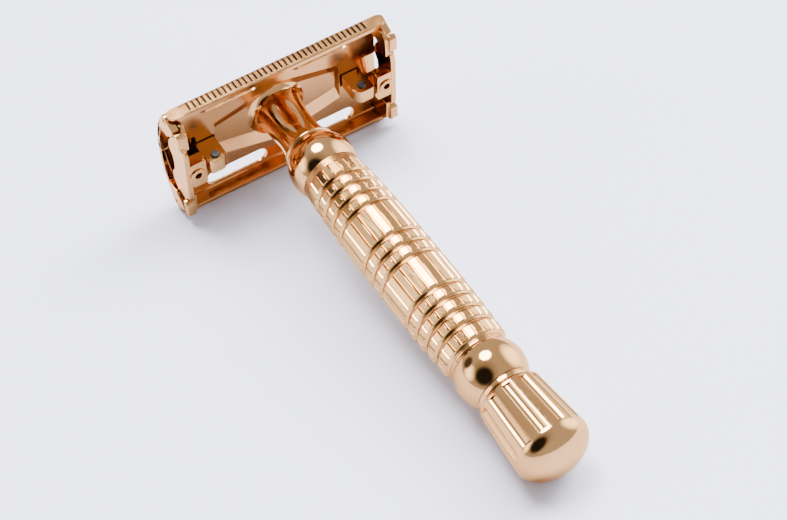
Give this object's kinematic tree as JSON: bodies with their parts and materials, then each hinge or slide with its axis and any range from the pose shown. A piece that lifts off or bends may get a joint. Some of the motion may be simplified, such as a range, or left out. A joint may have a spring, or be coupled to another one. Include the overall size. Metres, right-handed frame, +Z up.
{
  "type": "safety razor",
  "caption": "Twist-to-open safety razor with two hinged doors over a notched guard, a turned neck, a ringed grip and a fluted end knob, lying on its side.",
  "frame": {"origin": "middle of the bounding box, on the table that the razor lies on", "axes": "+X along the head, +Y along the handle from the knob to the head, +Z up from the table"},
  "size_m": [0.044, 0.0916, 0.0251],
  "materials": {
    "rose_gold": "polished rose gold plating",
    "bush_brass": "turned brass",
    "steel": "turned steel"
  },
  "bodies": {
    "handle": {"guard_plate": "rose_gold", "neck_tube": "rose_gold", "neck_ring": "rose_gold", "upper_ball": "rose_gold", "grip_sleeve": "rose_gold", "grip_ferrule": "rose_gold", "lower_ball": "rose_gold", "seat_ring": "rose_gold", "core_tube": "steel", "guide_bush": "bush_brass", "bearing_bush": "bush_brass"},
    "knob": {"twist_knob": "rose_gold", "drive_spindle": "steel", "thrust_washer": "steel", "spindle_clip": "steel"},
    "carriage": {"lift_nut": "bush_brass", "lift_rod": "steel", "lift_bar": "rose_gold", "blade_studs": "rose_gold", "lug_left": "rose_gold", "lug_right": "rose_gold", "cross_pins": "steel", "end_bracket_left": "rose_gold", "end_bracket_right": "rose_gold", "bracket_rivets": "rose_gold", "hinge_pins": "steel"},
    "front_door": {"door_front": "rose_gold"},
    "back_door": {"door_back": "rose_gold"}
  },
  "joints": [
    {"name": "knob_twist", "type": "hinge", "parent": "handle", "child": "knob", "pos_m": [0, -0.03727, 0.00694], "axis": [0, 0.9974, 0.0721], "range_deg": [0, 540]},
    {"name": "lift_slide", "type": "slide", "parent": "handle", "child": "carriage", "axis": [0, 0.9974, 0.0721], "range_m": [0, 0.0033]},
    {"name": "front_door_swing", "type": "hinge", "parent": "carriage", "child": "front_door", "pos_m": [0, 0.04066, 0.0233], "axis": [1, 0, 0], "range_deg": [0, 80]},
    {"name": "back_door_swing", "type": "hinge", "parent": "carriage", "child": "back_door", "pos_m": [0, 0.0422, 0.00195], "axis": [-1, 0, 0], "range_deg": [0, 80]}
  ],
  "couplings": [
    {"joint": "lift_slide", "follows": "knob_twist", "m_per_rad": 0.00035014},
    {"joint": "front_door_swing", "follows": "knob_twist", "ratio": 0.14815},
    {"joint": "back_door_swing", "follows": "knob_twist", "ratio": 0.14815}
  ]
}
